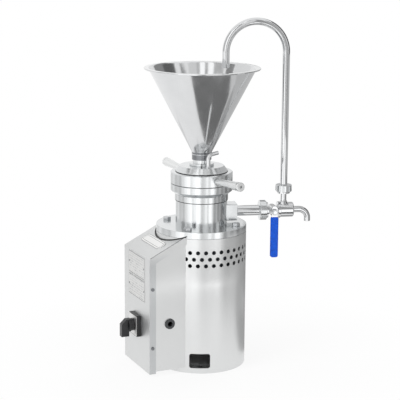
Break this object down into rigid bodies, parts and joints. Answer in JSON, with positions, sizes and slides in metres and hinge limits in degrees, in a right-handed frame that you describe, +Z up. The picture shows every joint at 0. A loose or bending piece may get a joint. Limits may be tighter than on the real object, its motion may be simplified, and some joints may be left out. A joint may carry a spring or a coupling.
{
  "type": "colloid mill",
  "caption": "Vertical colloid mill in polished stainless steel with hopper, adjustable milling head, lever valve, return pipe and switch box",
  "frame": {"origin": "centre of the housing's foot on the floor", "axes": "+Z up along the shaft, -X towards the control box, the outlet line 15.5 degrees from +X towards -Y"},
  "size_m": [0.4311, 0.333, 0.7704],
  "materials": {
    "polished_steel": "polished stainless steel, turned",
    "mirror_steel": "mirror-polished stainless sheet",
    "satin_steel": "machined stainless steel",
    "shroud_steel": "satin stainless sheet",
    "box_steel": "brushed stainless sheet",
    "fastener_steel": "plain steel fasteners",
    "bearing_steel": "ground bearing steel",
    "motor_iron": "painted cast iron",
    "lamination": "stacked electrical sheet",
    "copper_wire": "enamelled copper wire",
    "seal_ceramic": "carbon and ceramic seal faces",
    "gasket_white": "white polymer",
    "plate_white": "thin satin metal plate",
    "black_plastic": "matt black moulding",
    "black_rubber": "matt black rubber",
    "blue_plastic": "blue dipped sleeve"
  },
  "bodies": {
    "machine": {"base_ring": "satin_steel", "motor_shroud": "shroud_steel", "top_flange": "polished_steel", "flange_bolts": "fastener_steel", "motor_frame": "motor_iron", "stator_core": "lamination", "windings": "copper_wire", "lower_end_shield": "motor_iron", "shield_screws": "fastener_steel", "bearing_outer_rings": "bearing_steel", "mill_body": "polished_steel", "body_screws": "fastener_steel", "lock_ring": "polished_steel", "guide_pins": "fastener_steel", "seal_seat": "seal_ceramic", "outlet_pipe": "polished_steel", "outlet_union_nut": "polished_steel", "union_gaskets": "gasket_white", "valve_body": "polished_steel", "gland_nut": "fastener_steel", "spout": "polished_steel", "return_union_nut": "polished_steel", "box_body": "box_steel", "box_lid": "box_steel", "lid_screws": "fastener_steel", "data_plates": "plate_white", "name_badge": "plate_white", "plate_rivets": "fastener_steel", "switch_bezel": "black_plastic", "switch_face": "plate_white", "switch_block": "black_plastic", "terminal_block": "gasket_white", "cable_grommet": "black_rubber"},
    "rotor": {"main_shaft": "satin_steel", "rotor_core": "lamination", "rotor_key": "fastener_steel", "cooling_fan": "black_plastic", "bearing_inner_rings": "bearing_steel", "bearing_balls": "bearing_steel", "seal_ring": "seal_ceramic", "seal_spring": "fastener_steel", "mill_rotor": "satin_steel", "rotor_cap": "polished_steel"},
    "head": {"cover": "polished_steel", "mill_stator": "satin_steel", "stator_o_ring": "black_rubber", "hopper_collar": "polished_steel", "hopper": "mirror_steel", "cooling_nipples": "polished_steel"},
    "ring": {"adjusting_ring": "polished_steel", "ring_handles": "polished_steel"},
    "valve": {"valve_plug": "polished_steel", "lever_strip": "polished_steel", "lever_grip": "blue_plastic", "lever_nut": "fastener_steel"},
    "switch": {"switch_knob": "black_plastic", "switch_spindle": "fastener_steel"},
    "return": {"return_pipe": "polished_steel"}
  },
  "joints": [
    {"name": "rotor_spin", "type": "hinge", "parent": "machine", "child": "rotor", "pos_m": [0, 0, 0.2], "axis": [0, 0, 1], "continuous": true},
    {"name": "head_lift", "type": "slide", "parent": "machine", "child": "head", "axis": [0, 0, 1], "range_m": [-0.00105, 0.00105]},
    {"name": "ring_turn", "type": "hinge", "parent": "head", "child": "ring", "pos_m": [0, 0, 0.4104], "axis": [0, 0, 1], "range_deg": [-90, 90]},
    {"name": "lever_turn", "type": "hinge", "parent": "machine", "child": "valve", "pos_m": [0.15515, -0.04303, 0.343], "axis": [-0.2672, -0.9636, 0], "range_deg": [0, 90]},
    {"name": "switch_turn", "type": "hinge", "parent": "machine", "child": "switch", "pos_m": [-0.154, 0, 0.1025], "axis": [-1, 0, 0], "range_deg": [0, 60]},
    {"name": "return_swivel", "type": "hinge", "parent": "machine", "child": "return", "pos_m": [0.17875, -0.04957, 0.391], "axis": [0, 0, 1], "range_deg": [-25, 25]}
  ],
  "couplings": [
    {"joint": "head_lift", "follows": "ring_turn", "m_per_rad": 0.00063662}
  ]
}
